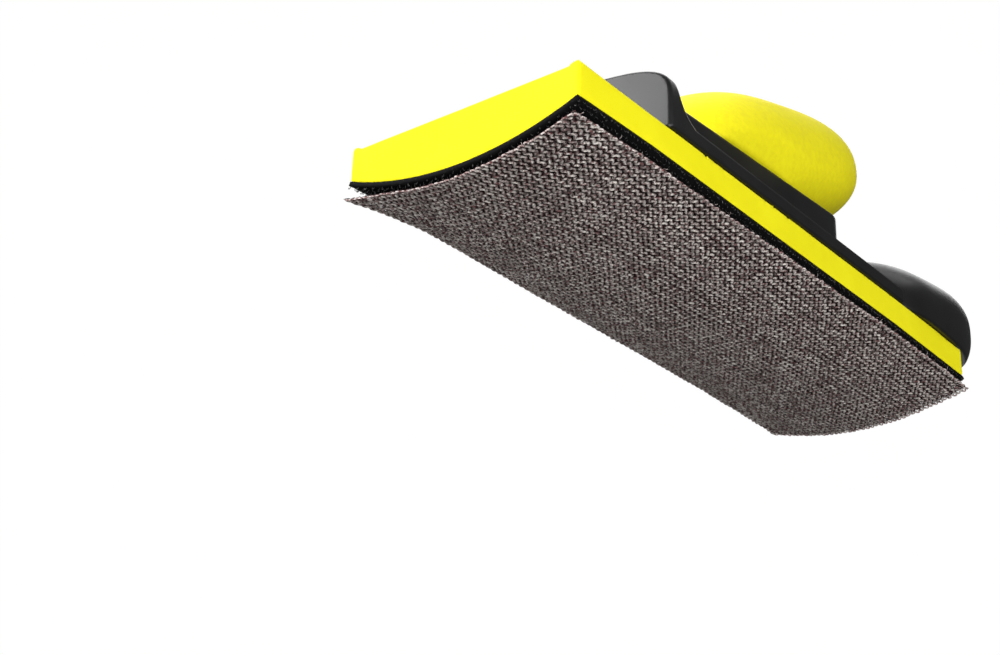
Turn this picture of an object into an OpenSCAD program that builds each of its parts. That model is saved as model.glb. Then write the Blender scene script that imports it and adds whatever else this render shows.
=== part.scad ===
// Hand sanding block with a convex foam sole, a hook-faced underside and a
// pull-off abrasive net. Millimetres. +X runs from the front stop to the palm
// rest, +Z is up, and the origin is under the middle of the block at the
// lowest line of the convex sole.

/* [Sole] */
// Length of the foam pad, the standard abrasive strip length
foam_l = 198; // [180:1:230]
// Width of the foam pad, the standard abrasive strip width
foam_w = 70; // [70:0.5:74]
// Thickness of the foam along its two long edges
foam_edge = 8.6; // [6:0.2:12]
// How far the sole bulges below its long edges
sole_sag = 6.6; // [4:0.2:9]
// Thickness of the hook facing
hook_t = 1.5; // [1:0.1:2.5]
// Thickness of each adhesive film
glue_t = 0.2; // [0.1:0.05:0.3]

/* [Abrasive net] */
// Flat length of the net
net_l = 198; // [180:1:200]
// Flat width of the net
net_w = 70; // [60:1:70]
// Thickness of the net
net_t = 0.9; // [0.6:0.1:1.4]
// Height of the hooks standing between the facing and the net
net_gap = 0.3; // [0.2:0.1:0.6]
// How far the net is set back from the front end of the foam
net_setback = 2; // [0:0.5:4]
// Turn of the net on the sole, in degrees
net_skew = 0.5; // [0:0.25:0.75]

/* [Body] */
// Distance the palm rest reaches behind the foam
rear_overhang = 22; // [16:1:26]
// Distance from the front end of the foam to the front stop
stop_x = 37; // [32:1:40]
// Distance from the front end of the foam to the rear end of the side lip
lip_end = 159.5; // [150:0.5:160]
// Height of the side lip above its own underside
lip_h = 5; // [4.5:0.25:7]
// Height of the front stop above the side lip
stop_h = 14.4; // [12:0.2:20]
// Wall thickness of the moulding
wall = 2.6; // [2:0.2:3]
// Height of the palm rest above the side lip
rest_h = 21.2; // [17:0.5:24]

/* [Grip] */
// Half the width of the collar at its rear end
collar_half = 28.8; // [27:0.2:30]
// How much narrower the collar is on each side at its front end
collar_taper = 3.6; // [0:0.2:5]
// Height of the collar above the side lip
collar_h = 14.5; // [12:0.5:16]
// Half the width of the knob
knob_half = 31.5; // [30:0.5:33]
// Half the length of the knob
knob_a = 50.8; // [48:0.5:53]
// Height of the knob above its widest line
knob_up = 23.8; // [20:0.5:27]
// Depth of the knob's rounded form below its widest line
knob_down = 19.3; // [18:0.5:22]
// Rise of the knob towards its rear, per millimetre of length
knob_slope = 0.3; // [0.2:0.02:0.34]
// Thickness of the soft skin over the knob's core
skin_t = 6; // [4:0.5:8]

/* [Plate and screws] */
// Thickness of the backing plate
plate_t = 2.6; // [2.4:0.1:3]
// Shank radius of the plate screws
plate_screw_r = 1.75; // [1.5:0.05:2]
// Shank radius of the knob screws
knob_screw_r = 2; // [1.75:0.05:2.25]

/* [Hidden] */
eps = 0.01;

// Lengthways position d behind the foam's front end, in the part's frame
x_mid = (foam_l + rear_overhang) / 2;
function fx(d) = d - x_mid;

// Sole radii, all about one axis that runs along X
foam_r = (foam_w * foam_w / 4 + sole_sag * sole_sag) / (2 * sole_sag);
hook_in = foam_r + glue_t;
hook_out = hook_in + hook_t;
net_in = hook_out + net_gap;
net_out = net_in + net_t;
axis_z = net_out;
net_chord = 2 * net_out * sin(net_w / (2 * net_out) * 180 / PI);

// Levels
foam_low = axis_z - foam_r;
edge_z = foam_low + sole_sag;
foam_top = edge_z + foam_edge;
plate_z = foam_top + glue_t;
lip_z = plate_z + lip_h;
stop_z = lip_z + stop_h;
collar_z = lip_z + collar_h;

// Plan of the lip, collar and plate
lip_half = foam_w / 2 + 0.4;
rest_half = foam_w / 2 + 1.5;
plate_half = foam_w / 2 - 3.2;
collar_x0 = fx(48);
collar_x1 = fx(138);
collar_r = 8;
stop_depth = 6.5;
stop_bow = 4;

// Palm rest and knob: rounded forms given by centre, half sizes, exponents,
// and slope along X
rest_x = fx(foam_l - 17);
rest_a = rear_overhang + 17.2;
rest_p = 4;
rest_pf = 2.5;
rest_q = 2.5;
rest_slope = 0.15;
knob_x = fx(113.9);
knob_z = collar_z + 12.3;
knob_p = 3;
knob_q = 2.2;

// Screw places: x behind the foam's front end, and y
plate_screws = [[60, 15], [60, -15], [127, 17], [127, -17], [182, 22], [182, -22]];
knob_screws_x = [84, 120];

function spow(v, e) = v == 0 ? 0 : sign(v) * pow(abs(v), e);

// One point of a rounded form at the angles u (plan) and v (height): half
// sizes a and b in plan, up and down in height, exponents p (pf in front of
// the centre) and q, slope m
function round_pt(a, b, up, down, p, pf, q, m, u, v) =
    let (r = spow(cos(v), 2 / q),
         e = 2 / (cos(u) < 0 ? pf : p),
         x = a * r * spow(cos(u), e),
         y = b * r * spow(sin(u), e),
         z = (v > 0 ? up : down) * spow(sin(v), 2 / q))
    [x, y, z + m * x];

// Closed rounded form: nu sides around and nv rings from pole to pole
module rounded_form(a, b, up, down, p, pf, q, m, nu, nv) {
    ring_v = [for (j = [1 : nv - 1]) -90 + 180 * j / nv];
    body = [for (v = ring_v) for (i = [0 : nu - 1])
            round_pt(a, b, up, down, p, pf, q, m, 360 * (i + 0.5) / nu, v)];
    low = len(body);
    pts = concat(body, [[0, 0, -down], [0, 0, up]]);
    side = [for (j = [0 : nv - 3]) for (i = [0 : nu - 1]) for (k = [0, 1])
            let (i2 = (i + 1) % nu, a0 = j * nu + i, a1 = j * nu + i2,
                 b0 = (j + 1) * nu + i, b1 = (j + 1) * nu + i2)
            k == 0 ? [a0, b1, a1] : [a0, b0, b1]];
    cap_low = [for (i = [0 : nu - 1]) [low, i, (i + 1) % nu]];
    cap_top = [for (i = [0 : nu - 1])
               [low + 1, (nv - 2) * nu + (i + 1) % nu, (nv - 2) * nu + i]];
    polyhedron(points = pts, faces = concat(side, cap_low, cap_top));
}

// Rounded rectangle in plan, from x0 to x1 and to plus and minus hy
module plan_round(x0, x1, hy, r) {
    union() {
        translate([x0 + r, -hy]) square([x1 - x0 - 2 * r, 2 * hy]);
        translate([x0, -hy + r]) square([x1 - x0, 2 * hy - 2 * r]);
        for (x = [x0 + r, x1 - r]) for (y = [-hy + r, hy - r])
            translate([x, y]) circle(r = r, $fn = 48);
    }
}

// Everything above the collar's top
module over_collar() {
    translate([-150, -60, collar_z]) cube([300, 120, 80]);
}

// Plan of the collar: straight sides that part towards the rear, four round
// corners, all set in by inset
module plan_collar(inset) {
    r = collar_r - inset;
    x0 = collar_x0 + collar_r;
    x1 = collar_x1 - collar_r;
    y0 = collar_half - collar_taper - collar_r;
    y1 = collar_half - collar_r;
    t = atan((y1 - y0) / (x1 - x0));
    union() {
        polygon([[x0 - r, -y0], [x0, -y0], [x0 - r * sin(t), -y0 - r * cos(t)],
                 [x1 - r * sin(t), -y1 - r * cos(t)], [x1, -y1], [x1 + r, -y1],
                 [x1 + r, y1], [x1, y1], [x1 - r * sin(t), y1 + r * cos(t)],
                 [x0 - r * sin(t), y0 + r * cos(t)], [x0, y0], [x0 - r, y0]]);
        for (s = [-1, 1]) {
            translate([x0, s * y0]) circle(r = r, $fn = 48);
            translate([x1, s * y1]) circle(r = r, $fn = 48);
        }
    }
}

// Front stop seen from the side: upright front, rounded top, hollow back
function stop_side() = concat(
    [[fx(stop_x) - stop_bow, plate_z]],
    [for (t = [0 : 15 : 90]) [fx(stop_x) - stop_bow + 2 - 2 * cos(t), stop_z - 2 + 2 * sin(t)]],
    [for (t = [0 : 10 : 90]) [fx(stop_x) + stop_depth - 3.5 - 1.5 * cos(t), stop_z - 2 * (1 - cos(t))]],
    [for (t = [0 : 10 : 90]) [fx(stop_x) + stop_depth + 9 - 11 * cos(t), lip_z + (stop_h - 4.5) * (1 - sin(t))]],
    [[fx(stop_x) + stop_depth + 9, plate_z]]);

// Front stop seen from the front: a low arch with round shoulders
function stop_front(h) = concat(
    [[-lip_half, plate_z], [lip_half, plate_z]],
    [for (t = [0 : 6 : 180]) [lip_half * spow(cos(t), 0.4), lip_z + h * spow(sin(t), 0.4)]]);

// Front stop in plan: a bowed front
function stop_plan() = concat(
    [[fx(stop_x) + 30, lip_half + eps], [fx(stop_x) + 30, -lip_half - eps]],
    [for (t = [-1 : 0.1 : 1.001]) [fx(stop_x) - stop_bow * (1 - t * t), (lip_half + eps) * t]]);

module front_stop() {
    intersection() {
        rotate([90, 0, 0]) translate([0, 0, -40]) linear_extrude(80)
            polygon(stop_side());
        translate([fx(20), 0, 0]) rotate([90, 0, 90]) linear_extrude(60)
            polygon(stop_front(stop_h));
        translate([0, 0, plate_z - 1]) linear_extrude(60) polygon(stop_plan());
    }
}

module palm_rest(inset) {
    intersection() {
        translate([rest_x, 0, lip_z])
            rounded_form(rest_a - inset, rest_half - inset, rest_h - inset,
                         rest_h - inset, rest_p, rest_pf, rest_q, rest_slope, 40, 20);
        translate([-200, -60, plate_z]) cube([400, 120, 100]);
    }
}

module collar_solid(inset, drop, z0) {
    translate([0, 0, z0]) linear_extrude(collar_z - drop - z0) plan_collar(inset);
}

module plate_screw_place() {
    for (p = plate_screws) translate([fx(p[0]), p[1], 0]) children();
}

module body_shell() {
    color([0.13, 0.13, 0.14]) difference() {
        union() {
            translate([0, 0, plate_z]) linear_extrude(lip_h)
                translate([fx(stop_x), -lip_half]) square([lip_end - stop_x, 2 * lip_half]);
            front_stop();
            collar_solid(0, 0, plate_z);
            palm_rest(0);
        }
        // recess for the backing plate
        translate([0, 0, plate_z - 1]) linear_extrude(plate_t + 1 + 0.1)
            plan_round(fx(3), fx(195.5), plate_half + 0.15, 6);
        // hollow under the collar, with bosses for the plate screws and pads
        // for the knob screws left standing
        difference() {
            collar_solid(wall, wall, plate_z);
            for (p = [0 : 3]) translate([fx(plate_screws[p][0]), plate_screws[p][1], plate_z])
                cylinder(r = 4, h = 40, $fn = 48);
            for (x = knob_screws_x) translate([fx(x), 0, collar_z - wall - 2])
                cylinder(r = 6, h = 20, $fn = 48);
        }
        // hollow under the palm rest
        difference() {
            palm_rest(wall);
            for (p = [4, 5]) translate([fx(plate_screws[p][0]), plate_screws[p][1], plate_z])
                cylinder(r = 4, h = 40, $fn = 48);
            translate([fx(3), -60, plate_z - 1]) cube([lip_end - 3 - 5, 120, lip_h + 1]);
            // floor under the overhang, behind the plate
            translate([fx(195.5), -60, plate_z - 1]) cube([60, 120, wall + 1]);
        }
        // core in the front stop
        translate([fx(stop_x) + 2, -24, plate_z]) cube([3.4, 48, lip_h + stop_h - 6]);
        // pilot holes for the plate screws
        plate_screw_place() translate([0, 0, plate_z]) cylinder(r = plate_screw_r, h = 13, $fn = 32);
        // clearance holes for the knob screws
        for (x = knob_screws_x) translate([fx(x), 0, plate_z + plate_t + 1])
            cylinder(r = knob_screw_r + 0.2, h = 40, $fn = 32);
    }
}

module base_plate() {
    color([0.10, 0.10, 0.11]) difference() {
        translate([0, 0, plate_z]) linear_extrude(plate_t)
            plan_round(fx(4), fx(195), plate_half, 6);
        plate_screw_place() {
            translate([0, 0, plate_z - 1]) cylinder(r = plate_screw_r + 0.25, h = plate_t + 2, $fn = 32);
            translate([0, 0, plate_z - eps]) cylinder(r1 = 3.6, r2 = plate_screw_r + 0.2, h = 1.9, $fn = 48);
        }
    }
}

module base_screws() {
    color([0.62, 0.63, 0.66]) plate_screw_place() difference() {
        union() {
            translate([0, 0, plate_z + 0.05]) cylinder(r1 = 3.45, r2 = plate_screw_r, h = 1.8, $fn = 48);
            translate([0, 0, plate_z + 1]) cylinder(r = plate_screw_r - 0.02, h = 11, $fn = 32);
        }
        for (a = [0, 90]) translate([0, 0, plate_z]) rotate([0, 0, a])
            translate([-1.6, -0.35, -1]) cube([3.2, 0.7, 2.1]);
    }
}

module knob_form(inset, nu, nv) {
    translate([knob_x, 0, knob_z])
        rounded_form(knob_a - inset, knob_half - inset, knob_up - inset, knob_down - inset,
                     knob_p, knob_p, knob_q, knob_slope, nu, nv);
}

module knob_core() {
    color([0.20, 0.20, 0.21]) difference() {
        intersection() {
            knob_form(skin_t, 32, 16);
            over_collar();
        }
        for (x = knob_screws_x) translate([fx(x), 0, collar_z - 10])
            cylinder(r = knob_screw_r, h = 10 + 13, $fn = 32);
    }
}

module knob_grip() {
    color([0.93, 0.87, 0.10]) difference() {
        intersection() {
            knob_form(0, 40, 20);
            over_collar();
        }
        knob_form(skin_t, 32, 16);
        // clearance holes for the knob screws in the skin under the core
        for (x = knob_screws_x) translate([fx(x), 0, collar_z - 1])
            cylinder(r = knob_screw_r + 0.2, h = 12, $fn = 32);
    }
}

module knob_screws() {
    color([0.62, 0.63, 0.66]) for (x = knob_screws_x)
        translate([fx(x), 0, collar_z - wall - 2]) difference() {
            union() {
                translate([0, 0, -2.4]) cylinder(r = 3.8, h = 2.4, $fn = 48);
                cylinder(r = knob_screw_r - 0.02, h = 15, $fn = 32);
            }
            for (a = [0, 90]) rotate([0, 0, a]) translate([-1.8, -0.4, -3.4]) cube([3.6, 0.8, 2.4]);
        }
}

// Cylinder of the sole's curvature along X
module sole_cyl(r) {
    translate([-200, 0, axis_z]) rotate([0, 90, 0]) cylinder(r = r, h = 400, $fn = 180);
}

module foam_pad() {
    color([0.98, 0.94, 0.15]) intersection() {
        translate([fx(0), -foam_w / 2, 0]) cube([foam_l, foam_w, foam_top]);
        sole_cyl(foam_r);
    }
}

module pad_adhesive() {
    color([0.85, 0.85, 0.80]) translate([0, 0, foam_top]) linear_extrude(glue_t)
        plan_round(fx(4), fx(195), plate_half, 6);
}

module curved_sheet(r0, r1, x0, x1, half) {
    difference() {
        intersection() {
            translate([x0, -half, -5]) cube([x1 - x0, 2 * half, 5 + edge_z + 0.5]);
            sole_cyl(r1);
        }
        sole_cyl(r0);
    }
}

module hook_adhesive() {
    color([0.80, 0.80, 0.76]) curved_sheet(foam_r, hook_in, fx(0.3), fx(foam_l - 0.3), foam_w / 2 - 0.3);
}

module hook_layer() {
    color([0.07, 0.07, 0.08]) curved_sheet(hook_in, hook_out, fx(0), fx(foam_l), foam_w / 2);
}

module abrasive_net() {
    color([0.55, 0.52, 0.50]) difference() {
        intersection() {
            translate([fx(net_setback + net_l / 2), -0.35, 0]) rotate([0, 0, -net_skew])
                translate([-net_l / 2, -net_chord / 2, -5]) cube([net_l, net_chord, 30]);
            sole_cyl(net_out);
        }
        sole_cyl(net_in);
        translate([-200, -60, axis_z / 2]) cube([400, 120, 200]);
    }
}

body_shell();
base_plate();
base_screws();
knob_core();
knob_grip();
knob_screws();
pad_adhesive();
foam_pad();
hook_adhesive();
hook_layer();
abrasive_net();
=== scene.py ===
import math

import bpy
import numpy as np
from mathutils import Matrix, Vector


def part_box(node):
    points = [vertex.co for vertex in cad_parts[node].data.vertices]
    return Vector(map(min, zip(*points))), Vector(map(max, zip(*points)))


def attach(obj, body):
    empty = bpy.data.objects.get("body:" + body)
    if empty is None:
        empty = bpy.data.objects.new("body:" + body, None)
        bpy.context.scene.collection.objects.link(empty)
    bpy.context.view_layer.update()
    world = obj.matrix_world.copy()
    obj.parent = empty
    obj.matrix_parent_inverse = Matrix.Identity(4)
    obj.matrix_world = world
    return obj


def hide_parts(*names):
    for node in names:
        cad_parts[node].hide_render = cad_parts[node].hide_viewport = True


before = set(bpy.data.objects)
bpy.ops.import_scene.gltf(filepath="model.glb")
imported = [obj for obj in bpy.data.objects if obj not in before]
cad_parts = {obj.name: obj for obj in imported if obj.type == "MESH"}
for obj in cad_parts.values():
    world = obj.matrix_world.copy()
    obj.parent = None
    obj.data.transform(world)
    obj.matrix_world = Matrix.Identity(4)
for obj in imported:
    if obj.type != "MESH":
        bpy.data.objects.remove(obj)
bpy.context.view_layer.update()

rng = np.random.default_rng(20)
MM = 0.001

# ------------------------------------------------------------------ levels, in mm, as the CAD has them
foam_lo, foam_hi = [np.array(p) * 1000 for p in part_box("foam_pad")]
shell_lo, shell_hi = [np.array(p) * 1000 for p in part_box("body_shell")]
plate_lo, plate_hi = [np.array(p) * 1000 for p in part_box("base_plate")]
X0 = float(foam_lo[0])                       # front end of the foam
FOAM_L = float(foam_hi[0] - foam_lo[0])
HALF = float(foam_hi[1])
FOAM_TOP = float(foam_hi[2])
FOAM_LOW = float(foam_lo[2])
SAG = 6.6
FOAM_R = (HALF * HALF + SAG * SAG) / (2 * SAG)
AXIS_Z = FOAM_LOW + FOAM_R                   # the sole's axis, along X
HOOK_IN, HOOK_OUT = FOAM_R + 0.2, FOAM_R + 1.7
NET_R = HOOK_OUT + 0.3 + 0.45
SHELL_Z = float(shell_lo[2])
LIP_Z = SHELL_Z + 5.0
STOP_H = 14.5
COLLAR_Z = LIP_Z + 14.5
LIP_HALF = HALF + 0.4


def fx(d):
    return X0 + d


def top_rise(x):
    """The foam's top edge and the lip's underside stand a little higher than flat along most of the length."""
    return 0.72 * np.clip((fx(195) - x) / 55, 0, 1)


def sole_rise(x, y):
    """The sole's long edges are drawn up a little between the two ends."""
    along = np.clip((x - fx(0)) / 30, 0, 1) ** 0.8 * np.clip((fx(FOAM_L) - x) / 45, 0, 1)
    return 1.0 * along * np.clip(np.abs(y) / HALF, 0, 1.05) ** 3


# ------------------------------------------------------------------ numeric helpers
def ri(a, b, r):
    """The part in both a and b, with a rounded edge of radius r."""
    return np.minimum(np.maximum(a, b), -r) + np.hypot(np.maximum(a + r, 0), np.maximum(b + r, 0))


def ru(a, b, r):
    """a and b joined, with a fillet of radius r."""
    return np.maximum(np.minimum(a, b), r) - np.hypot(np.maximum(r - a, 0), np.maximum(r - b, 0))


def lattice(ix, iy, iz, seed):
    h = (ix * 374761393 + iy * 668265263 + iz * 2147483647 + seed * 974634777) & 0xFFFFFFFF
    h = ((h ^ (h >> 13)) * 1274126177) & 0xFFFFFFFF
    return ((h ^ (h >> 16)) & 0xFFFFFF) / float(0xFFFFFF) * 2 - 1


def noise(x, y, z, scale, seed):
    """Smooth value noise from -1 to 1, with cells of the given size."""
    x, y, z = np.asarray(x, float) / scale, np.asarray(y, float) / scale, np.asarray(z, float) / scale
    fx_, fy_, fz_ = np.floor(x), np.floor(y), np.floor(z)
    ix, iy, iz = fx_.astype(np.int64), fy_.astype(np.int64), fz_.astype(np.int64)
    tx, ty, tz = x - fx_, y - fy_, z - fz_
    tx, ty, tz = (t * t * (3 - 2 * t) for t in (tx, ty, tz))
    out = 0
    for a in (0, 1):
        for b in (0, 1):
            for c in (0, 1):
                w = (tx if a else 1 - tx) * (ty if b else 1 - ty) * (tz if c else 1 - tz)
                out = out + w * lattice(ix + a, iy + b, iz + c, seed)
    return out


def rounded_g(x, y, z, a, b, up, down, p, pf, q, m):
    """Size of a point against a rounded form: 1 on its surface."""
    zz = z - m * x
    px = np.where(x < 0, pf, p)
    plan = (np.abs(x / a) ** px + np.abs(y / b) ** px) ** (q / px)
    return (plan + np.abs(zz / np.where(zz > 0, up, down)) ** q) ** (1 / q)


def rounded(x, y, z, *shape):
    """About the distance to a rounded form's surface, less than 0 inside it."""
    e = 0.05
    g = rounded_g(x, y, z, *shape)
    gx = rounded_g(x + e, y, z, *shape) - g
    gy = rounded_g(x, y + e, z, *shape) - g
    gz = rounded_g(x, y, z + e, *shape) - g
    return (g - 1) * e / np.maximum(np.sqrt(gx * gx + gy * gy + gz * gz), 1e-5)


def plan_box(x, y, x0, x1, hy, r):
    cx, hx = (x0 + x1) / 2, (x1 - x0) / 2
    qx, qy = np.abs(x - cx) - hx + r, np.abs(y) - hy + r
    return np.hypot(np.maximum(qx, 0), np.maximum(qy, 0)) + np.minimum(np.maximum(qx, qy), 0) - r


def surface_net(f, low, high, h):
    """A quad mesh of the surface f = 0 in a box, with cells of size h."""
    n = [int(math.ceil((b - a) / h)) + 1 for a, b in zip(low, high)]
    ax = [low[i] + h * np.arange(n[i]) for i in range(3)]
    v = np.empty(n, np.float32)
    yy, zz = np.meshgrid(ax[1], ax[2], indexing="ij")
    for i in range(0, n[0], 24):                     # in slabs, so that memory stays small
        xs = ax[0][i:i + 24]
        shp = (len(xs),) + yy.shape
        v[i:i + 24] = f(np.broadcast_to(xs[:, None, None], shp), np.broadcast_to(yy, shp), np.broadcast_to(zz, shp))
    ins = v < 0
    cnt = np.zeros([k - 1 for k in n], np.int8)
    for a in (0, 1):
        for b in (0, 1):
            for c in (0, 1):
                cnt += ins[a:n[0] - 1 + a, b:n[1] - 1 + b, c:n[2] - 1 + c]
    cells = np.argwhere((cnt > 0) & (cnt < 8))
    index = np.full(cnt.shape, -1, np.int64)
    index[tuple(cells.T)] = np.arange(len(cells))
    total, hits = np.zeros((len(cells), 3)), np.zeros(len(cells))
    corner = [(a, b, c) for a in (0, 1) for b in (0, 1) for c in (0, 1)]
    for i, ca in enumerate(corner):
        for cb in corner[i + 1:]:
            if sum(abs(p - q) for p, q in zip(ca, cb)) != 1:
                continue
            va = v[cells[:, 0] + ca[0], cells[:, 1] + ca[1], cells[:, 2] + ca[2]]
            vb = v[cells[:, 0] + cb[0], cells[:, 1] + cb[1], cells[:, 2] + cb[2]]
            cross = (va < 0) != (vb < 0)
            t = np.where(cross, va / np.where(cross, va - vb, 1), 0)
            p = np.array(ca, float) + t[:, None] * (np.array(cb, float) - np.array(ca, float))
            total += np.where(cross[:, None], p, 0)
            hits += cross
    verts = (cells + total / hits[:, None]) * h + np.array(low)
    quads = []
    for axis in range(3):
        o1, o2 = [(1, 2), (2, 0), (0, 1)][axis]
        a = [slice(None)] * 3
        b = [slice(None)] * 3
        a[axis], b[axis] = slice(0, -1), slice(1, None)
        change = np.argwhere(ins[tuple(a)] != ins[tuple(b)])
        ok = (change[:, o1] > 0) & (change[:, o2] > 0) & (change[:, o1] < n[o1] - 1) & (change[:, o2] < n[o2] - 1)
        change = change[ok]
        flip = ins[tuple(change.T)]
        ids = []
        for d1, d2 in ((0, 0), (-1, 0), (-1, -1), (0, -1)):
            c = change.copy()
            c[:, o1] += d1
            c[:, o2] += d2
            ids.append(index[tuple(c.T)])
        q = np.stack(ids, 1)
        q[~flip] = q[~flip][:, ::-1]
        quads.append(q)
    return verts, np.concatenate(quads)


def settle(f, p, rounds=4, e=0.02):
    """Moves points onto f = 0. Returns them with their normals."""
    for k in range(rounds + 1):
        x, y, z = p.T
        g = np.stack([f(x + e, y, z) - f(x - e, y, z), f(x, y + e, z) - f(x, y - e, z), f(x, y, z + e) - f(x, y, z - e)], 1) / (2 * e)
        size = np.linalg.norm(g, axis=1)
        nrm = g / np.maximum(size, 1e-9)[:, None]
        if k < rounds:
            step = np.clip(f(x, y, z) / np.maximum(size, 0.3), -0.4, 0.4)
            p = p - step[:, None] * nrm
    return p, nrm


def mesh_from(name, verts_mm, faces, smooth=True):
    me = bpy.data.meshes.new(name)
    faces = np.asarray(faces)
    k = faces.shape[1]
    me.vertices.add(len(verts_mm))
    me.vertices.foreach_set("co", (np.asarray(verts_mm, float) * MM).astype(np.float32).ravel())
    me.loops.add(faces.size)
    me.loops.foreach_set("vertex_index", faces.astype(np.int32).ravel())
    me.polygons.add(len(faces))
    me.polygons.foreach_set("loop_start", np.arange(0, faces.size, k, dtype=np.int32))
    me.update(calc_edges=True)
    me.validate()
    me.polygons.foreach_set("use_smooth", [smooth] * len(me.polygons))
    ob = bpy.data.objects.new(name, me)
    bpy.context.scene.collection.objects.link(ob)
    return ob


def read_co(me):
    co = np.zeros(len(me.vertices) * 3, np.float32)
    me.vertices.foreach_get("co", co)
    return co.reshape(-1, 3).astype(float)


def form(name, f, low, high, h, keep=0.5, shift=None):
    """A mesh of the form f, thinned where it is flat, with the form's own normals when shift is not given. shift moves
    each point a little along its normal, for the surface's unevenness.
    """
    v, q = surface_net(f, low, high, h)
    v, _ = settle(f, v, 2)
    ob = mesh_from(name, v, q)
    if keep < 1:
        mod = ob.modifiers.new("thin", "DECIMATE")
        mod.ratio = keep
        mod.use_collapse_triangulate = True
        dg = bpy.context.evaluated_depsgraph_get()
        thin = bpy.data.meshes.new_from_object(ob.evaluated_get(dg))
        ob.modifiers.clear()
        old = ob.data
        ob.data = thin
        bpy.data.meshes.remove(old)
        thin.name = name
    p, nrm = settle(f, read_co(ob.data) * 1000, 4)
    if shift is not None:
        p = p + nrm * shift(p)[:, None]
    ob.data.vertices.foreach_set("co", (p * MM).astype(np.float32).ravel())
    ob.data.polygons.foreach_set("use_smooth", [True] * len(ob.data.polygons))
    ob.data.update()
    if shift is None:
        ob.data.normals_split_custom_set_from_vertices(nrm.tolist())
    return ob


def tubes(paths, ra, rb, sides, shape, turn=0.0):
    """Tubes of sides faces round along many paths. paths is (count, points, 3) in a sheet's own (u, v, w); ra is the half width in the sheet and rb across it, one number or (count, points). shape turns (u, v, w) into mm."""
    n, m, _ = paths.shape
    ra, rb = np.broadcast_to(ra, (n, m)), np.broadcast_to(rb, (n, m))
    t = np.gradient(paths, axis=1)
    t /= np.maximum(np.linalg.norm(t, axis=2, keepdims=True), 1e-9)
    side = np.stack([-t[..., 1], t[..., 0], np.zeros((n, m))], 2)
    length = np.linalg.norm(side, axis=2, keepdims=True)
    side = np.where(length > 0.15, side / np.maximum(length, 1e-9), np.array([0.0, 1.0, 0.0]))
    up = np.cross(t, side)
    up /= np.maximum(np.linalg.norm(up, axis=2, keepdims=True), 1e-9)
    rings = []
    for k in range(sides):
        a = 2 * math.pi * k / sides + turn
        rings.append(paths + side * (ra * math.cos(a))[..., None] + up * (rb * math.sin(a))[..., None])
    v = np.stack(rings, 2)                                      # n, m, sides, 3
    v = shape(v.reshape(-1, 3))
    idx = np.arange(n * m * sides).reshape(n, m, sides)
    nxt = np.roll(idx, -1, axis=2)
    q = np.stack([idx[:, :-1], nxt[:, :-1], nxt[:, 1:], idx[:, 1:]], -1).reshape(-1, 4)
    tri = np.concatenate([q[:, [0, 1, 2]], q[:, [0, 2, 3]]])
    caps = []
    for k in range(1, sides - 1):
        caps.append(np.stack([idx[:, 0, 0], idx[:, 0, k + 1], idx[:, 0, k]], -1))
        caps.append(np.stack([idx[:, -1, 0], idx[:, -1, k], idx[:, -1, k + 1]], -1))
    return v, np.concatenate([tri] + caps)


def paint(ob, name, values):
    """A number for each point, which the material reads."""
    at = ob.data.attributes.new(name, "FLOAT", "POINT")
    at.data.foreach_set("value", np.asarray(values, np.float32))


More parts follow.
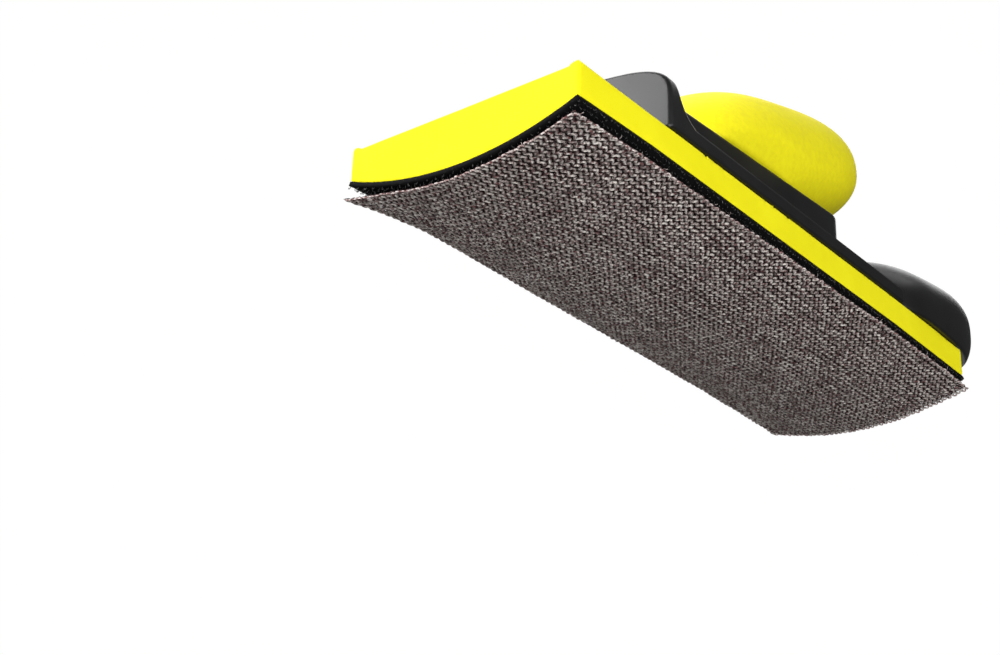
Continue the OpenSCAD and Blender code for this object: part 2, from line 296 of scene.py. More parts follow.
# ------------------------------------------------------------------ materials
class Nodes:
    def __init__(self, name):
        self.m = bpy.data.materials.new(name)
        self.m.use_nodes = True
        self.t = self.m.node_tree
        self.b = self.t.nodes["Principled BSDF"]
        self.co = self.t.nodes.new("ShaderNodeTexCoord").outputs["Object"]

    def add(self, kind, **inputs):
        n = self.t.nodes.new(kind)
        for k, v in inputs.items():
            k = k.replace("_", " ")
            if isinstance(v, bpy.types.NodeSocket):
                self.t.links.new(v, n.inputs[k])
            else:
                n.inputs[k].default_value = v
        return n

    def mapped(self, scale):
        n = self.add("ShaderNodeMapping", Vector=self.co)
        n.inputs["Scale"].default_value = scale
        return n.outputs["Vector"]

    def noise(self, size_mm, detail=3.0, rough=0.55, stretch=(1, 1, 1)):
        s = 1000.0 / size_mm
        n = self.add("ShaderNodeTexNoise", Vector=self.mapped((s * stretch[0], s * stretch[1], s * stretch[2])), Scale=1.0, Detail=detail, Roughness=rough)
        return n.outputs["Fac"]

    def cells(self, size_mm, feature="F1"):
        s = 1000.0 / size_mm
        n = self.add("ShaderNodeTexVoronoi", Vector=self.mapped((s, s, s)), Scale=1.0)
        n.feature = feature
        return n.outputs["Distance"]

    def ramp(self, fac, stops):
        n = self.t.nodes.new("ShaderNodeValToRGB")
        self.t.links.new(fac, n.inputs["Fac"])
        e = n.color_ramp.elements
        while len(e) < len(stops):
            e.new(0.5)
        for el, (pos, c) in zip(e, stops):
            el.position = pos
            el.color = (*c, 1) if len(c) == 3 else c
        return n.outputs["Color"]

    def range(self, fac, a, b, c, d):
        n = self.add("ShaderNodeMapRange", Value=fac)
        for k, v in zip(("From Min", "From Max", "To Min", "To Max"), (a, b, c, d)):
            n.inputs[k].default_value = v
        return n.outputs["Result"]

    def mix(self, fac, a, b, blend="MIX"):
        n = self.t.nodes.new("ShaderNodeMix")
        n.data_type = "RGBA"
        n.blend_type = blend
        for s, v in ((n.inputs[0], fac), (n.inputs[6], a), (n.inputs[7], b)):
            if isinstance(v, bpy.types.NodeSocket):
                self.t.links.new(v, s)
            else:
                s.default_value = v if isinstance(v, float) else (*v, 1)
        return n.outputs[2]

    def math(self, op, a, b=0.0):
        n = self.t.nodes.new("ShaderNodeMath")
        n.operation = op
        for s, v in zip(n.inputs, (a, b)):
            if isinstance(v, bpy.types.NodeSocket):
                self.t.links.new(v, s)
            else:
                s.default_value = v
        return n.outputs[0]

    def attribute(self, name):
        n = self.t.nodes.new("ShaderNodeAttribute")
        n.attribute_name = name
        return n.outputs["Fac"]

    def bump(self, height, distance_mm, strength=1.0, under=None):
        n = self.add("ShaderNodeBump", Height=height, Distance=distance_mm * MM, Strength=strength)
        if under is not None:
            self.t.links.new(under, n.inputs["Normal"])
        return n.outputs["Normal"]

    def done(self, colour, rough, normal=None, **plain):
        for socket, v in (("Base Color", colour), ("Roughness", rough), ("Normal", normal)):
            if isinstance(v, bpy.types.NodeSocket):
                self.t.links.new(v, self.b.inputs[socket])
            elif v is not None:
                self.b.inputs[socket].default_value = v
        for k, v in plain.items():
            self.b.inputs[k.replace("_", " ")].default_value = v
        return self.m


def black_plastic():
    n = Nodes("black_plastic")
    grain = n.noise(0.22, 2.0)
    cloud = n.noise(14.0, 3.0)
    scuff = n.noise(2.2, 4.0, 0.7, (0.35, 1, 1))
    colour = n.ramp(cloud, [(0.3, (0.0058, 0.0058, 0.0062)), (0.7, (0.0088, 0.0088, 0.0092))])
    colour = n.mix(n.range(scuff, 0.60, 0.78, 0.0, 0.22), colour, (0.020, 0.020, 0.021))
    rough = n.math("ADD", n.range(grain, 0.3, 0.7, 0.31, 0.40), n.range(cloud, 0.3, 0.7, -0.03, 0.04))
    normal = n.bump(grain, 0.018, 0.55)
    normal = n.bump(n.noise(0.9, 2.0), 0.02, 0.35, normal)
    return n.done(colour, rough, normal, Specular_IOR_Level=0.5)


def plate_plastic():
    n = Nodes("plate_plastic")
    grain = n.noise(0.3, 2.0)
    cloud = n.noise(11.0, 3.0)
    colour = n.ramp(cloud, [(0.3, (0.010, 0.010, 0.011)), (0.7, (0.017, 0.017, 0.018))])
    return n.done(colour, n.range(grain, 0.3, 0.7, 0.5, 0.62), n.bump(grain, 0.02, 0.6), Specular_IOR_Level=0.35)


def yellow_foam():
    n = Nodes("yellow_foam")
    cell = n.cells(0.42)
    fine = n.noise(0.35, 3.0)
    cloud = n.noise(18.0, 2.0)
    speck = n.noise(0.9, 2.0)
    colour = n.ramp(cloud, [(0.3, (0.88, 0.80, 0.007)), (0.7, (0.94, 0.865, 0.010))])
    colour = n.mix(n.range(cell, 0.0, 0.35, 0.16, 0.0), colour, (0.62, 0.50, 0.010))
    colour = n.mix(n.range(speck, 0.74, 0.80, 0.0, 0.4), colour, (0.50, 0.38, 0.012))
    normal = n.bump(cell, 0.05, 0.32)
    normal = n.bump(fine, 0.03, 0.35, normal)
    return n.done(colour, n.range(fine, 0.3, 0.7, 0.72, 0.88), normal, Specular_IOR_Level=0.12)


def yellow_grip():
    n = Nodes("yellow_grip")
    fine = n.noise(0.5, 3.0, 0.6)
    mottle = n.noise(1.6, 3.0, 0.6)
    cloud = n.noise(16.0, 2.0)
    colour = n.ramp(mottle, [(0.32, (0.83, 0.735, 0.008)), (0.55, (0.88, 0.79, 0.010)), (0.74, (0.92, 0.83, 0.016))])
    colour = n.mix(n.range(cloud, 0.3, 0.7, 0.0, 0.18), colour, (0.80, 0.70, 0.010))
    normal = n.bump(fine, 0.03, 0.4)
    normal = n.bump(mottle, 0.03, 0.3, normal)
    return n.done(colour, n.range(mottle, 0.3, 0.7, 0.58, 0.74), normal, Specular_IOR_Level=0.15)


def core_plastic():
    n = Nodes("core_plastic")
    g = n.noise(0.5, 3.0)
    return n.done(n.ramp(g, [(0.3, (0.05, 0.05, 0.054)), (0.7, (0.075, 0.075, 0.08))]), n.range(g, 0.3, 0.7, 0.5, 0.65), n.bump(g, 0.03, 0.5))


def screw_steel():
    n = Nodes("screw_steel")
    g = n.noise(0.25, 3.0, 0.6, (1, 1, 0.1))
    c = n.noise(2.0, 2.0)
    return n.done(n.ramp(c, [(0.3, (0.50, 0.51, 0.53)), (0.7, (0.66, 0.67, 0.69))]), n.range(g, 0.3, 0.7, 0.25, 0.42), n.bump(g, 0.01, 0.4), Metallic=1.0)


def adhesive():
    n = Nodes("adhesive")
    g = n.noise(1.2, 3.0)
    return n.done(n.ramp(g, [(0.3, (0.50, 0.49, 0.44)), (0.7, (0.66, 0.65, 0.60))]), n.range(g, 0.3, 0.7, 0.35, 0.55), n.bump(g, 0.03, 0.5))


def hook_tape():
    n = Nodes("hook_tape")
    weave = n.noise(0.45, 3.0, 0.6, (1, 2.2, 1))
    lint = n.noise(0.6, 2.0)
    colour = n.ramp(weave, [(0.3, (0.0030, 0.0030, 0.0032)), (0.7, (0.0075, 0.0075, 0.008))])
    colour = n.mix(n.range(lint, 0.66, 0.74, 0.0, 0.35), colour, (0.10, 0.095, 0.09))
    return n.done(colour, n.range(weave, 0.3, 0.7, 0.7, 0.9), n.bump(weave, 0.12, 0.7), Specular_IOR_Level=0.06)


def hook_fibre():
    n = Nodes("hook_fibre")
    g = n.noise(0.9, 2.0)
    # the top of this ramp makes patches of hooks pale grey: painted glints on the black hooks
    colour = n.ramp(g, [(0.3, (0.006, 0.006, 0.006)), (0.55, (0.016, 0.016, 0.016)), (0.68, (0.12, 0.12, 0.115))])
    return n.done(colour, n.range(g, 0.3, 0.7, 0.28, 0.42), None, Specular_IOR_Level=0.6)


def net_yarn(name, light, mid, dark, red, painted_flank_shade=0.55):
    """Knitted yarn coated with abrasive grain, with reddish-brown grains. The yarn's outward side keeps its pale
    colour, and its flanks and its side against the hooks are darkened as painted shade, by a number stored on each
    point.
    """
    n = Nodes(name)
    grain = n.noise(0.30, 3.0, 0.7)
    clump = n.noise(0.95, 2.0, 0.6)
    fleck = n.noise(0.80, 2.0, 0.6)
    streak = n.noise(2.2, 2.0, 0.5, (0.16, 1, 1))
    painted_lit_facing = n.attribute("painted_lit_facing")
    colour = n.ramp(clump, [(0.38, dark), (0.48, mid), (0.58, light)])
    colour = n.mix(n.range(grain, 0.34, 0.50, 0.55, 0.0), colour, dark)
    colour = n.mix(n.range(streak, 0.38, 0.62, 0.50, 0.0), colour, tuple(0.40 * c for c in mid))
    colour = n.mix(n.range(fleck, 0.54, 0.62, 0.0, 0.72), colour, red)
    # painted shade: darkens each yarn's flanks and its side against the hooks towards near-black, where the per-point
    # number is low
    colour = n.mix(n.range(painted_lit_facing, 0.0, 1.0, painted_flank_shade, 0.0), colour, (0.020, 0.009, 0.009))
    normal = n.bump(grain, 0.12, 0.8)
    return n.done(colour, n.range(grain, 0.3, 0.7, 0.62, 0.9), normal, Specular_IOR_Level=0.3)


M = {
    "black": black_plastic(), "plate": plate_plastic(), "foam": yellow_foam(), "grip": yellow_grip(),
    "core": core_plastic(), "steel": screw_steel(), "glue": adhesive(), "tape": hook_tape(), "hook": hook_fibre(),
    # The last number of each net yarn sets how strongly painted shade darkens its flanks and underside.
    "row": net_yarn("net_yarn", (0.98, 0.92, 0.86), (0.45, 0.385, 0.36), (0.04, 0.020, 0.020), (0.17, 0.045, 0.047), 0.88),
    "link": net_yarn("net_link", (0.15, 0.10, 0.095), (0.045, 0.022, 0.022), (0.014, 0.005, 0.005), (0.08, 0.014, 0.016)),
    "edge": net_yarn("net_edge", (0.95, 0.88, 0.85), (0.74, 0.60, 0.57), (0.22, 0.09, 0.09), (0.22, 0.05, 0.05), 0.45),
}


def give(ob, mat):
    ob.data.materials.clear()
    ob.data.materials.append(M[mat])
    return ob


def piece(ob, mat, body, slot, *nodes):
    give(ob, mat)
    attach(ob, body)
    if nodes:
        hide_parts(*nodes)
    return ob


# ------------------------------------------------------------------ moulded body
STOP_F, STOP_B = fx(37), fx(37) + 6.5
REST = (39.2, LIP_HALF + 1.1, 21.2, 21.2, 4.0, 2.5, 2.5, 0.15)


def collar_plan(x, y):
    """Distance in plan to the collar: a four-sided form that widens to the rear, with corners of radius 8."""
    x0, x1, y0, y1 = fx(48) + 8, fx(138) - 8, 28.8 - 3.6 - 8, 28.8 - 8
    ay = np.abs(y)
    t = math.atan2(y1 - y0, x1 - x0)
    s, c = math.sin(t), math.cos(t)
    u = (x - x0) * c + (ay - y0) * s                  # along the side
    w = -(x - x0) * s + (ay - y0) * c                 # out from the side
    length = math.hypot(x1 - x0, y1 - y0)
    d_side = np.hypot(u - np.clip(u, 0, length), w)
    d_rear = np.hypot(x - x1, ay - np.clip(ay, 0, y1))
    d_front = np.hypot(x - x0, ay - np.clip(ay, 0, y0))
    inside = (w < 0) & (x > x0) & (x < x1)
    near = np.minimum(np.minimum(d_side, d_rear), d_front)
    return np.where(inside, -np.minimum(np.minimum(-w, x - x0), x1 - x), near) - 8


def body_form(x, y, z):
    ay = np.abs(y)
    side = ay - LIP_HALF
    lip = ri(ri(np.maximum(STOP_F + 3 - x, x - fx(159.5)), side, 0.5), z - LIP_Z, 0.40)
    front = (STOP_F - 4 * (1 - (y / LIP_HALF) ** 2)) - x
    u = np.maximum((STOP_B + 9 - x) / 11, 0)
    v = np.maximum((LIP_Z + STOP_H - 4.5 - z) / (STOP_H - 4.5), 0)
    back = (1 - np.hypot(u, v)) * 10.5
    hz = np.maximum(z - LIP_Z, 0) / STOP_H
    g = ((ay / LIP_HALF) ** 5 + hz ** 5) ** 0.2
    slope = np.hypot((ay / LIP_HALF) ** 4 / LIP_HALF, hz ** 4 / STOP_H) / np.maximum(g, 0.05) ** 4
    arch = (g - 1) / np.maximum(slope, 1 / LIP_HALF)
    stop = ri(ri(arch, back, 1.5), front, 1.0)
    stop = np.maximum(stop, x - STOP_B - 9.2)
    shell = np.minimum(lip, stop)
    collar = ri(collar_plan(x, y), z - COLLAR_Z, 0.7)
    shell = ru(shell, collar, 1.1)
    rest = rounded(x - fx(181), y, z - LIP_Z, *REST)
    shell = ru(shell, rest, 0.9)
    rise = top_rise(x) * np.clip((ay - HALF + 2.8) / 0.8, 0, 1) * np.clip((x - fx(30)) / 5, 0, 1)
    shell = ri(shell, SHELL_Z + rise + 0.10 - z, 0.8)
    recess = np.maximum(plan_box(x, y, fx(3), fx(195.5), HALF - 3.05, 6.0), z - SHELL_Z - 2.7)
    return np.maximum(shell, -recess)


h = 0.62
shell = form("body_shell_moulding", body_form, (fx(30), -38.2, SHELL_Z - 1.2), (fx(FOAM_L) + 24, 38.2, 46.5), h, 0.42)
piece(shell, "black", "block", "black_plastic", "body_shell")


def plate_form(x, y, z):
    plan = plan_box(x, y, fx(4), fx(195), HALF - 3.2, 6.0)
    f = ri(plan, z - SHELL_Z - 2.6, 0.35)
    f = ri(f, SHELL_Z - z, 0.15)
    for px, py in ((60, 15), (60, -15), (127, 17), (127, -17), (182, 22), (182, -22)):
        r = np.hypot(x - fx(px), y - py)
        hole = np.maximum(r - 2.0, -4.0)
        sink = (r - (3.6 - (z - SHELL_Z) * 0.87)) * 0.75
        f = np.maximum(f, -np.minimum(hole, sink))
    return f


plate = form("base_plate_moulding", plate_form, (fx(3), -33.2, SHELL_Z - 1.0), (fx(196.2), 33.2, SHELL_Z + 3.8), 0.8, 0.2)
piece(plate, "plate", "block", "black_plastic", "base_plate")

# ------------------------------------------------------------------ knob skin
KNOB = (50.8, 31.5, 23.8, 19.3, 3.0, 3.0, 2.2, 0.3)
KNOB_IN = (44.8, 25.5, 17.8, 13.3, 3.0, 3.0, 2.2, 0.3)
KX, KZ = fx(113.9), COLLAR_Z + 12.3


def grip_form(x, y, z):
    f = ri(rounded(x - KX, y, z - KZ, *KNOB), COLLAR_Z + 0.02 - z, 0.6)
    over = np.abs(y) - (25.5 + 0.04 * (x - fx(48)))   # how far out from the collar's side
    f = ri(f, (over - 0.50 * (z - COLLAR_Z)) * 0.89 - 10 * np.clip((x - fx(116)) / 22, 0, 1), 1.2)
    f = np.maximum(f, -rounded(x - KX, y, z - KZ, *KNOB_IN))
    for sx in (84, 120):
        f = np.maximum(f, -np.maximum(np.hypot(x - fx(sx), y) - 2.2, z - COLLAR_Z - 11))
    return f


def grip_shift(p):
    x, y, z = p.T
    skin = np.clip((rounded(x - KX, y, z - KZ, *KNOB_IN) - 2) / 3, 0, 1)
    return skin * (0.05 * noise(x, y, z, 14.0, 3) + 0.010 * noise(x, y, z, 3.0, 4))


grip = form("knob_grip_skin", grip_form, (KX - 53, -33, COLLAR_Z - 1.5), (KX + 53, 33, KZ + 42), 0.75, 1.0, grip_shift)
piece(grip, "grip", "block", "yellow_grip", "knob_grip")

# ------------------------------------------------------------------ foam pad
nicks = [(rng.uniform(fx(4), fx(194)), s * HALF + rng.uniform(-0.15, 0.35), FOAM_TOP + rng.uniform(-0.2, 0.3), rng.uniform(0.35, 0.8)) for s in (-1, 1) for _ in range(13)]


def foam_form(x, y, z):
    ends = np.maximum(fx(0) - x, x - fx(FOAM_L))
    ay = np.abs(y)
    f = ri(ends, ay - HALF, 0.7)
    f = ri(f, z - FOAM_TOP - top_rise(x) * np.clip((ay - HALF + 2.8) / 1.2, 0, 1), 0.45)
    f = ri(f, np.hypot(y, z - sole_rise(x, y) - AXIS_Z) - FOAM_R, 0.15)
    for nx, ny, nz, nr in nicks:
        f = np.maximum(f, nr * 0.55 - np.sqrt(((x - nx) * 0.75) ** 2 + (y - ny) ** 2 + (z - nz) ** 2))
    return f


def foam_shift(p):
    x, y, z = p.T
    inner = np.clip((np.hypot(y, z - AXIS_Z) - FOAM_R + 1.2) / -1.0, 0, 1)
    return inner * (0.07 * noise(x, y, z, 11.0, 11) + 0.03 * noise(x, y, z, 2.4, 12))


foam = form("foam_pad_cut", foam_form, (fx(-1.5), -36.5, FOAM_LOW - 1.5), (fx(FOAM_L) + 1.5, 36.5, FOAM_TOP + 1.5), 0.8, 0.8, foam_shift)
piece(foam, "foam", "block", "yellow_foam", "foam_pad")


# ------------------------------------------------------------------ hook facing
def on_sole(p):
    """(x, arc across, radius) to mm."""
    a = p[:, 1] / 97.3
    y = p[:, 2] * np.sin(a)
    return np.stack([p[:, 0], y, AXIS_Z - p[:, 2] * np.cos(a) + sole_rise(p[:, 0], y)], 1)


def slab(shape, u, v, w_low, w_high):
    """A closed sheet between two offsets over the lines u by v."""
    nu, nv = len(u), len(v)
    uu, vv = np.meshgrid(u, v, indexing="ij")
    p = np.concatenate([np.stack([uu, vv, np.broadcast_to(w, uu.shape)], -1).reshape(-1, 3) for w in (w_low, w_high)])
    i = np.arange(nu * nv).reshape(nu, nv)
    q = [np.stack([i[:-1, :-1], i[1:, :-1], i[1:, 1:], i[:-1, 1:]], -1).reshape(-1, 4)]
    q.append(q[0][:, ::-1] + nu * nv)
    k = nu * nv
    for line, back in ((i[:, 0], False), (i[:, -1], True), (i[0, :], True), (i[-1, :], False)):
        s = np.stack([line[:-1], line[1:], line[1:] + k, line[:-1] + k], -1)
        q.append(s if back else s[:, ::-1])
    return shape(p), np.concatenate(q)


hv = np.arcsin(np.clip((HALF + 0.12) / 97.0, -1, 1)) * 97.3
u = np.linspace(fx(-0.05), fx(FOAM_L) + 0.05, 200)
v = np.linspace(-hv, hv, 74)
uu, vv = np.meshgrid(u, v, indexing="ij")
top = HOOK_OUT - 0.55 + 0.06 * noise(uu, vv, 0 * uu, 0.9, 21)
rim = np.minimum(np.minimum(uu - fx(0), fx(FOAM_L) - uu), hv - np.abs(vv))
sv, sq = slab(on_sole, u, v, np.where(rim < 1.4, FOAM_R + 0.03, HOOK_IN), top)
tape = mesh_from("hook_layer_tape", sv, sq)
gu, gv = np.linspace(fx(0.8), fx(FOAM_L) - 0.8, 100), np.linspace(-hv + 0.8, hv - 0.8, 30)
gv_, gq_ = slab(on_sole, gu, gv, FOAM_R + 0.03, HOOK_IN)
film = mesh_from("hook_adhesive_film", gv_, gq_)
piece(film, "glue", "block", "adhesive", "hook_adhesive")
piece(tape, "tape", "block", "hook_fabric", "hook_layer")

step_u, step_v = ((1.33, 1.43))
hu, hvv = np.meshgrid(np.arange(fx(0.5), fx(FOAM_L) - 0.3, step_u), np.arange(-hv + 0.25, hv - 0.1, step_v), indexing="ij")
hu = hu + 0.5 * step_u * (np.arange(hu.shape[1]) % 2)[None, :]
hu, hvv = hu.ravel(), hvv.ravel()
hu = np.clip(hu + rng.normal(0, 0.10, hu.shape), fx(0.25), fx(FOAM_L) - 0.25)
hvv = np.clip(hvv + rng.normal(0, 0.10, hu.shape), -hv + 0.15, hv - 0.15)
lean = rng.uniform(0, 2 * math.pi, hu.shape)
tall = rng.uniform(0.85, 1.12, hu.shape)
bend = np.array([(0.0, -0.03), (0.02, 0.48), (0.16, 0.86), (0.42, 0.90), (0.50, 0.62)])
path = np.stack([hu[:, None] + np.cos(lean)[:, None] * bend[None, :, 0],
                 hvv[:, None] + np.sin(lean)[:, None] * bend[None, :, 0],
                 HOOK_OUT - 0.75 + tall[:, None] * bend[None, :, 1]], -1)
tv, tq = tubes(path, 0.105, 0.105, 3, on_sole)
hooks = mesh_from("hook_layer_hooks", tv, tq)
piece(hooks, "hook", "block", "hook_fabric")


# ------------------------------------------------------------------ abrasive net
NET_L, NET_W = 198.0, 70.0
NET_CX = fx(2.0 + NET_L / 2)
NET_CY = -0.35
SKEW = math.radians(0.5)


def net_lift(u, v):
    """How far the net stands off the hooks: its corners and cut edges come away a little."""
    a, b = np.clip(1 - u / 26, 0, 1), np.clip((v - 20) / 15, 0, 1)
    far_front = 1.7 * a ** 1.5 * b ** 1.5
    c = np.clip(1 - (NET_L - u) / 18, 0, 1)
    near_rear = 0.9 * c ** 1.5 * np.clip((-v - 20) / 15, 0, 1) ** 1.5
    far_rear = 0.5 * c ** 2 * b ** 2
    edge = 0.18 * np.clip(1 - (NET_W / 2 - np.abs(v)) / 2.5, 0, 1) + 0.12 * np.clip(1 - np.minimum(u, NET_L - u) / 3, 0, 1)
    wave = 0.07 * noise(u, v, 0 * u, 16.0, 31)
    return far_front + near_rear + far_rear + edge * (1 + 0.8 * noise(u, v, 0 * u, 6.0, 32)) + wave


def on_net(p):
    """(along, across, outward) on the net, in mm from its front end and its middle line, to mm."""
    u, v, w = p.T
    corner = np.clip(1 - u / 22, 0, 1) ** 1.5 * np.clip((v - 18) / 17, 0, 1) ** 1.5
    u, v = u - 1.1 * np.clip(1 - u / 30, 0, 1) - 0.8 * corner, v + 2.3 * corner
    y = NET_R * np.sin(v / NET_R)
    x = u - NET_L / 2
    px = NET_CX + x * math.cos(SKEW) + y * math.sin(SKEW)
    py = NET_CY - x * math.sin(SKEW) + y * math.cos(SKEW)
    a = np.arcsin(np.clip(py / NET_R, -1, 1))
    r = NET_R + w + net_lift(u, v)
    return np.stack([px, r * np.sin(a), AXIS_Z - r * np.cos(a) + sole_rise(px, py)], 1)


PERIOD, PITCH, AMP = 2.36, 1.575, 0.44
rows = int(NET_W / PITCH)
per = 6
m = int(NET_L / PERIOD * per) + 1
uu = np.linspace(0.15, NET_L - 0.15, m)
row_v = (np.arange(rows) - (rows - 1) / 2) * PITCH


def wave_at(u, j):
    """The zigzag of row j at u, from -1 to 1."""
    ph = 2 * math.pi * (u / PERIOD + 0.07 * noise(u, j * 3.7, 0 * u, 9.0, 41))
    s = np.sin(ph)
    return np.sign(s) * np.abs(s) ** 0.8 * 0.96


jj = np.arange(rows)[:, None] * np.ones((1, m))
U = uu[None, :] * np.ones((rows, 1))
zig = wave_at(U, jj)
V = row_v[:, None] + AMP * zig * (1 + 0.25 * noise(U, jj * 5, 0 * U, 3.0, 42)) + 0.12 * noise(U, jj * 7, 0 * U, 5.0, 43)
W = 0.10 + 0.10 * np.abs(zig) + 0.06 * noise(U, jj * 9, 0 * U, 1.4, 44)
ra = 0.50 + 0.09 * noise(U, jj * 3, 0 * U, 1.3, 45) + 0.05 * noise(U, jj * 3, 0 * U, 9.0, 47)
rb = 0.31 + 0.06 * noise(U, jj * 4, 0 * U, 1.7, 46)
nv_, nq_ = tubes(np.stack([U, V, W], -1), ra, rb, 4, on_net)
net = mesh_from("abrasive_net_rows", nv_, nq_)
# Painted shade: one number for each ring point, 1 on the outward side and 0 on the side against the hooks; the material
# darkens the low ones.
painted_lit_facing = np.tile(np.array([0.35, 1.0, 0.35, 0.0]) if True else 0, rows * m)
paint(net, "painted_lit_facing", painted_lit_facing)
piece(net, "row", "net", "abrasive_net", "abrasive_net")

# threads between the rows: one on each flank of the zigzag
k = np.arange(int(NET_L / PERIOD * 2) - 1)
lu = (k[None, :] + 0.5 * 0 + 1.0) * PERIOD / 2
LU = lu * np.ones((rows - 1, 1))
LJ = np.arange(rows - 1)[:, None] * np.ones((1, len(k)))
LU = LU + 0.10 * rng.normal(size=LU.shape)
lean_u = np.where((np.arange(len(k)) % 2)[None, :] == 0, 0.30, -0.30) + 0.12 * rng.normal(size=LU.shape)
pts = []
for t in (0.0, 0.5, 1.0):
    vv = row_v[:-1][:, None] + PITCH * t
    pts.append(np.stack([LU + lean_u * (t - 0.5) * 2, vv + 0 * LU, -0.10 - 0.08 * math.sin(math.pi * t) + 0 * LU], -1))
lp = np.stack(pts, 2).reshape(-1, 3, 3)
lv, lq = tubes(lp, 0.24 + 0.07 * rng.uniform(-1, 1, (len(lp), 1)), 0.18, 4, on_net)
links = mesh_from("abrasive_net_threads", lv, lq)
# the same painted shade numbers for the threads
paint(links, "painted_lit_facing", np.tile([0.4, 1.0, 0.4, 0.0], len(lv) // 4))
piece(links, "link", "net", "abrasive_net")

# the lower yarn of each row, seen through the gaps
m2 = int(NET_L / PERIOD * 3) + 1
uu2 = np.linspace(0.2, NET_L - 0.2, m2)
jj2 = np.arange(rows)[:, None] * np.ones((1, m2))
U2 = uu2[None, :] * np.ones((rows, 1))
V2 = row_v[:, None] - AMP * 1.15 * wave_at(U2, jj2) + 0.12 * noise(U2, jj2 * 7, 0 * U2, 5.0, 48)
close = np.clip((U2 - NET_L + 8) / 2, 0, 1) + np.clip((2.5 - U2) / 1.5, 0, 1) + (np.abs(V2) > NET_W / 2 - 2.5)
uv_, uq_ = tubes(np.stack([U2, V2, -0.22 + 0 * U2], -1), 0.36 + 0.42 * np.clip(close, 0, 1), 0.14, 3, on_net)
under = mesh_from("abrasive_net_lower_yarn", uv_, uq_)
# the same painted shade numbers for the lower yarn
paint(under, "painted_lit_facing", np.tile([0.5, 1.0, 0.5], len(uv_) // 3))
piece(under, "link", "net", "abrasive_net")

# loops along the cut edges
loops = []
for s in (-1, 1):
    c = (np.arange(int(NET_L / PERIOD)) + 0.5) * PERIOD + rng.normal(0, 0.12, int(NET_L / PERIOD))
    out = 0.42 + 0.16 * rng.uniform(-1, 1, c.shape)
    base = s * (abs(row_v[-1]) + 0.15)
    ts = np.linspace(0, math.pi, 7)
    loops.append(np.stack([c[:, None] - 0.62 * np.cos(ts)[None, :],
                           base + s * out[:, None] * 1.25 * np.sin(ts)[None, :],
                           0.10 + 0.16 * np.sin(ts)[None, :] + 0 * c[:, None]], -1))
for s, u0 in ((-1, 0.25), (1, NET_L - 0.25)):
    c = row_v[:-1] + PITCH / 2 + rng.normal(0, 0.08, rows - 1)
    out = 0.42 + 0.26 * rng.uniform(-1, 1, c.shape)
    ts = np.linspace(0, math.pi, 7)
    loops.append(np.stack([u0 + s * out[:, None] * 1.2 * np.sin(ts)[None, :],
                           c[:, None] - 0.52 * np.cos(ts)[None, :],
                           0.12 + 0.22 * np.sin(ts)[None, :] + 0 * c[:, None]], -1))
loops = np.concatenate(loops)
ev, eq = tubes(loops, 0.24 + 0.05 * rng.uniform(-1, 1, (len(loops), 1)), 0.20, 5, on_net)
edge = mesh_from("abrasive_net_edge_loops", ev, eq)
# the same painted shade numbers for the edge loops
paint(edge, "painted_lit_facing", np.tile([0.6, 1.0, 0.9, 0.4, 0.3], len(ev) // 5))
piece(edge, "edge", "net", "abrasive_net")

# loose ends of cut yarn
ends = []
for _ in range(44):
    short = rng.random() < 0.45
    if short:
        front = rng.random() < 0.5
        u0, v0 = (0.2 if front else NET_L - 0.2), rng.uniform(-NET_W / 2, NET_W / 2)
        du, dv = (-1 if front else 1) * rng.uniform(0.25, 0.8), rng.uniform(-0.5, 0.5)
    else:
        s = 1 if rng.random() < 0.5 else -1
        u0, v0 = rng.uniform(0, NET_L), s * (NET_W / 2 - 0.2)
        du, dv = rng.uniform(-0.7, 0.7), s * rng.uniform(0.3, 1.0)
    ends.append([[u0, v0, 0.0], [u0 + du * 0.5, v0 + dv * 0.5, 0.15], [u0 + du, v0 + dv, rng.uniform(-0.4, 0.5)]])
fv, fq = tubes(np.array(ends), np.array([0.075, 0.06, 0.035]), np.array([0.075, 0.06, 0.035]), 4, on_net)
frays = mesh_from("abrasive_net_frays", fv, fq)
paint(frays, "painted_lit_facing", np.ones(len(fv)))
piece(frays, "edge", "net", "abrasive_net")

# ------------------------------------------------------------------ CAD nodes that stay
for name, mat in (("base_screws", "steel"), ("knob_screws", "steel"), ("knob_core", "core"), ("pad_adhesive", "glue")):
    give(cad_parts[name], mat)


# ------------------------------------------------------------------ stage: floor, backdrop, lights, camera
def plain(name, colour, rough, glow=0.0):
    n = Nodes(name)
    g = n.noise(60.0, 2.0)
    c = n.ramp(g, [(0.3, tuple(0.985 * v for v in colour)), (0.7, colour)])
    n.done(c, rough)
    if glow:
        n.b.inputs["Emission Color"].default_value = (1, 1, 1, 1)
        n.b.inputs["Emission Strength"].default_value = glow
    return n.m


bpy.ops.mesh.primitive_plane_add(size=12, location=(0, 0, -0.62))
floor = bpy.context.object
floor.name = "stage_floor"
paper = Nodes("stage_floor")
# Painted light: the floor glows, with emission 0.55 under the block rising to 1.0 beyond 2.5 m, where the lamps light
# it less; it lights nothing itself.
far = paper.add("ShaderNodeTexGradient", Vector=paper.mapped((0.4, 0.4, 0.4)))
far.gradient_type = "SPHERICAL"
soft = paper.noise(60.0, 2.0)
paper.done(paper.ramp(soft, [(0.3, (0.80, 0.80, 0.80)), (0.7, (0.82, 0.82, 0.82))]), 0.85)
paper.b.inputs["Emission Color"].default_value = (1, 1, 1, 1)
paper.t.links.new(paper.range(far.outputs["Fac"], 0.0, 1.0, 1.0, 0.55), paper.b.inputs["Emission Strength"])
floor.data.materials.append(paper.m)
floor.visible_diffuse = floor.visible_glossy = floor.visible_transmission = False

bpy.ops.mesh.primitive_uv_sphere_add(segments=48, ring_count=24, radius=6.0, location=(0, 0, 0))
dome = bpy.context.object
dome.name = "stage_backdrop"
dome.data.materials.append(plain("stage_backdrop", (0, 0, 0), 1.0, 1.0))
dome.visible_diffuse = dome.visible_glossy = dome.visible_transmission = dome.visible_shadow = dome.visible_volume_scatter = False

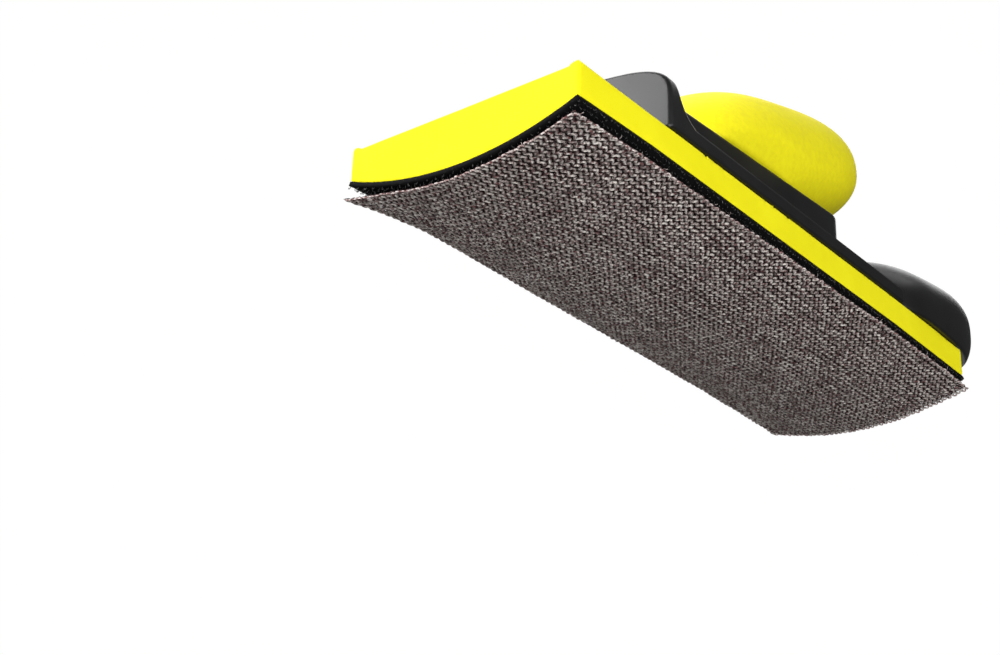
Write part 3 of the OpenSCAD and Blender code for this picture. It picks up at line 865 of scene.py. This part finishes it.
world = bpy.data.worlds.new("studio")
bpy.context.scene.world = world
world.use_nodes = True
world.node_tree.nodes["Background"].inputs["Color"].default_value = (1.0, 1.0, 1.0, 1)
world.node_tree.nodes["Background"].inputs["Strength"].default_value = 0.08


def softbox(name, towards, distance, size, radiance):
    """A square area light of that brightness, towards the given direction from the block, facing it."""
    d = np.array(towards, float)
    d /= np.linalg.norm(d)
    L = bpy.data.lights.new(name, "AREA")
    L.shape = "SQUARE"
    L.size = size
    L.energy = radiance * math.pi * size * size
    ob = bpy.data.objects.new(name, L)
    bpy.context.scene.collection.objects.link(ob)
    ob.location = [0, 0, 0.04] + d * distance
    back = Matrix.Identity(3)
    from mathutils import Vector
    ob.rotation_mode = "QUATERNION"
    ob.rotation_quaternion = Vector(d).to_track_quat("Z", "Y")
    return ob


softbox("front_box", (-0.80, 0.45, 0.40), 1.2, 1.25, 5.6)
softbox("camera_side_box", (-0.76, -0.60, -0.30), 0.66, 0.62, 2.7)
softbox("side_box", (-0.10, -0.98, -0.12), 1.1, 0.95, 2.15)
softbox("under_box", (-0.50, -0.30, -0.82), 1.2, 0.95, 3.3)
softbox("back_fill", (0.86, 0.45, -0.20), 1.5, 1.0, 0.7)
softbox("top_box", (0.15, 0.30, 1.0), 1.4, 1.1, 2.4)
softbox("rear_top_box", (0.74, 0.24, 0.60), 1.3, 0.6, 1.9)
softbox("rest_box", (0.46, -0.34, 0.82), 1.3, 0.6, 1.1)

cam_data = bpy.data.cameras.new("camera")
cam = bpy.data.objects.new("camera", cam_data)
bpy.context.scene.collection.objects.link(cam)
bpy.context.scene.camera = cam
cam_data.sensor_width = 36.0
cam_data.lens = 61.1036
cam_data.clip_start, cam_data.clip_end = 0.01, 20
right, down, forward = (0.62557982, -0.77937501, 0.03499261), (0.33745613, 0.22988043, -0.91284081), (0.7034012, 0.58286326, 0.40681344)
cam.matrix_world = Matrix((
    (right[0], -down[0], -forward[0], -0.36957007),
    (right[1], -down[1], -forward[1], -0.23001801),
    (right[2], -down[2], -forward[2], -0.19271364),
    (0, 0, 0, 1)))

bpy.context.scene.view_settings.view_transform = "Standard"
bpy.context.scene.view_settings.look = "None"
